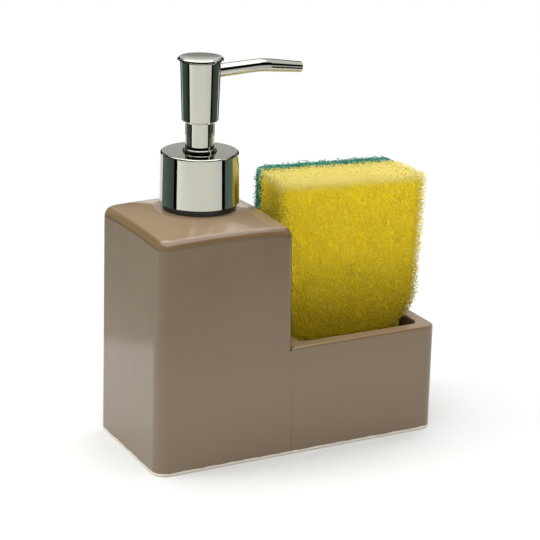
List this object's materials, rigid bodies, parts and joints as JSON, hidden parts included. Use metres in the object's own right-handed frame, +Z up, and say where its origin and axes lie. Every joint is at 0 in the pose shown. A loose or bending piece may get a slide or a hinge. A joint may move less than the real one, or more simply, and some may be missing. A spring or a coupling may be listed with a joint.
{
  "type": "soap pump caddy",
  "caption": "Glazed ceramic caddy: a tall square soap bottle with a press-down chrome pump on a screw collar, joined to a low open tray that holds an upright sponge.",
  "frame": {"origin": "middle of the base, on the surface that the caddy stands on", "axes": "+X along the front from the bottle to the tray, +Y from front to back, +Z up along the pump"},
  "size_m": [0.133, 0.0616, 0.1653],
  "materials": {
    "glaze": "gloss",
    "chrome": "polished",
    "dark_plastic": "satin",
    "natural_plastic": "satin",
    "gasket": "matte",
    "steel": "satin",
    "foam": "matte",
    "scouring_fibre": "matte"
  },
  "bodies": {
    "caddy": {"soap_bottle": "glaze", "sponge_tray": "glaze", "neck_adapter": "dark_plastic"},
    "pump_unit": {"pump_housing": "natural_plastic", "stem_guide": "chrome", "neck_gasket": "gasket", "dip_tube": "natural_plastic", "return_spring": "steel"},
    "collar": {"collar_shell": "chrome", "collar_nut": "natural_plastic"},
    "inlet_valve": {"inlet_ball": "steel"},
    "piston": {"piston_seal": "natural_plastic"},
    "plunger": {"piston_rod": "natural_plastic", "stem_sleeve": "chrome", "head_core": "natural_plastic", "head_barrel": "chrome", "head_cap": "chrome", "spout_tube": "chrome", "spout_liner": "natural_plastic"},
    "outlet_valve": {"outlet_ball": "steel"},
    "sponge": {"sponge_foam": "foam", "scouring_pad": "scouring_fibre"}
  },
  "joints": [
    {"name": "collar_turn", "type": "hinge", "parent": "pump_unit", "child": "collar", "pos_m": [-0.03339, 0, 0.116], "axis": [0, 0, 1], "range_deg": [0, 540]},
    {"name": "pump_lift", "type": "slide", "parent": "caddy", "child": "pump_unit", "axis": [0, 0, 1], "range_m": [0, 0.006]},
    {"name": "pump_stroke", "type": "slide", "parent": "pump_unit", "child": "piston", "axis": [0, 0, -1], "range_m": [0, 0.01], "stiffness_N_per_m": 400, "springref_m": -0.012, "deforming": ["return_spring"]},
    {"name": "head_swivel", "type": "hinge", "parent": "piston", "child": "plunger", "pos_m": [-0.03339, 0, 0.15], "axis": [0, 0, 1], "continuous": true},
    {"name": "inlet_ball_lift", "type": "slide", "parent": "pump_unit", "child": "inlet_valve", "axis": [0, 0, 1], "range_m": [0, 0.0015]},
    {"name": "outlet_ball_lift", "type": "slide", "parent": "plunger", "child": "outlet_valve", "axis": [0, 0, 1], "range_m": [0, 0.0012]},
    {"name": "sponge_lift", "type": "slide", "parent": "caddy", "child": "sponge", "axis": [0, 0, 1], "range_m": [0, 0.043]}
  ],
  "couplings": [
    {"joint": "collar_turn", "follows": "pump_lift", "rad_per_m": 1570.8}
  ]
}
